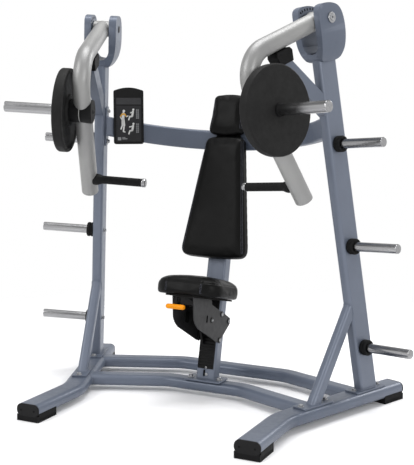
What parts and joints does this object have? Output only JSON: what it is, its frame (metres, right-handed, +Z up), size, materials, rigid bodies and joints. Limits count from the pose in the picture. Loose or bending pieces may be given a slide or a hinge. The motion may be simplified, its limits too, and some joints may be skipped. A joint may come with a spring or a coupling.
{
  "type": "plate-loaded chest press machine",
  "caption": "Free-standing plate-loaded chest press machine with two independent swinging press arms, an adjustable seat and weight storage pegs.",
  "frame": {"origin": "middle of the footprint on the floor", "axes": "+X to the right seen from in front, +Y towards the back of the machine, +Z up; the user faces -Y"},
  "size_m": [2.0412, 1.1502, 1.887],
  "materials": {
    "frame_paint": "satin blue-grey powder coat",
    "arm_paint": "satin silver-grey powder coat",
    "chrome": "brushed bright plating",
    "black_rubber": "matt",
    "grip_rubber": "fine ribbed matt",
    "black_plastic": "satin moulded",
    "disc_cover": "fine textured",
    "upholstery": "soft grained vinyl",
    "board": "black painted plywood",
    "dark_steel": "satin",
    "orange_plastic": "satin",
    "placard": "matt with printed pictograms"
  },
  "bodies": {
    "frame": {"outer_head_cheek_right": "frame_paint", "inner_head_cheek_right": "frame_paint", "storage_peg_low_right": "chrome", "storage_peg_middle_right": "chrome", "storage_peg_high_right": "chrome", "pivot_shaft_right": "chrome", "arm_stop_bumper_right": "black_rubber", "arm_stop_bracket_right": "frame_paint", "post_right": "frame_paint", "brace_right": "frame_paint", "outer_head_cheek_left": "frame_paint", "inner_head_cheek_left": "frame_paint", "storage_peg_low_left": "chrome", "storage_peg_middle_left": "chrome", "storage_peg_high_left": "chrome", "pivot_shaft_left": "chrome", "arm_stop_bumper_left": "black_rubber", "arm_stop_bracket_left": "frame_paint", "post_left": "frame_paint", "brace_left": "frame_paint", "latch_rack": "black_plastic", "back_pad": "upholstery", "head_pad": "upholstery", "backrest_board": "board", "base_rail_right": "frame_paint", "base_rail_left": "frame_paint", "front_cross_tube": "frame_paint", "rear_cross_tube": "frame_paint", "front_foot_right": "black_rubber", "rear_foot_right": "black_rubber", "front_foot_left": "black_rubber", "rear_foot_left": "black_rubber", "upper_arch_tube": "frame_paint", "instruction_placard": "placard", "seat_post": "frame_paint"},
    "press_arm_left": {"press_arm_left": "arm_paint", "pivot_bearing_left": "black_plastic", "horn_saddle_outer_left": "black_plastic", "horn_saddle_inner_left": "black_plastic", "plate_stop_disc_left": "disc_cover", "weight_horn_left": "chrome", "handle_bar_left": "chrome", "rubber_grip_left": "grip_rubber"},
    "press_arm_right": {"press_arm_right": "arm_paint", "pivot_bearing_right": "black_plastic", "horn_saddle_outer_right": "black_plastic", "horn_saddle_inner_right": "black_plastic", "plate_stop_disc_right": "disc_cover", "weight_horn_right": "chrome", "handle_bar_right": "chrome", "rubber_grip_right": "grip_rubber"},
    "seat_carriage": {"carriage_plate_right": "dark_steel", "carriage_plate_left": "dark_steel", "rear_glide": "black_plastic", "front_glide": "black_plastic", "seat_board": "board", "seat_pad": "upholstery", "release_pivot_pin": "chrome"},
    "seat_latch": {"release_crank": "dark_steel", "release_handle": "orange_plastic"}
  },
  "joints": [
    {"name": "arm_left_swing", "type": "hinge", "parent": "frame", "child": "press_arm_left", "pos_m": [-0.56882, 0.14234, 1.81576], "axis": [-0.9287, -0.3658, 0.061], "range_deg": [0, 48]},
    {"name": "arm_right_swing", "type": "hinge", "parent": "frame", "child": "press_arm_right", "pos_m": [0.56882, 0.14234, 1.81576], "axis": [-0.9287, 0.3658, -0.061], "range_deg": [0, 48]},
    {"name": "seat_slide", "type": "slide", "parent": "frame", "child": "seat_carriage", "axis": [0, 0.2284, 0.9736], "range_m": [-0.1, 0.1]},
    {"name": "seat_release", "type": "hinge", "parent": "seat_carriage", "child": "seat_latch", "pos_m": [-0.023, 0.09812, 0.46756], "axis": [-1, 0, 0], "range_deg": [0, 8], "stiffness_Nm_per_rad": 8, "springref_deg": -17.19}
  ]
}
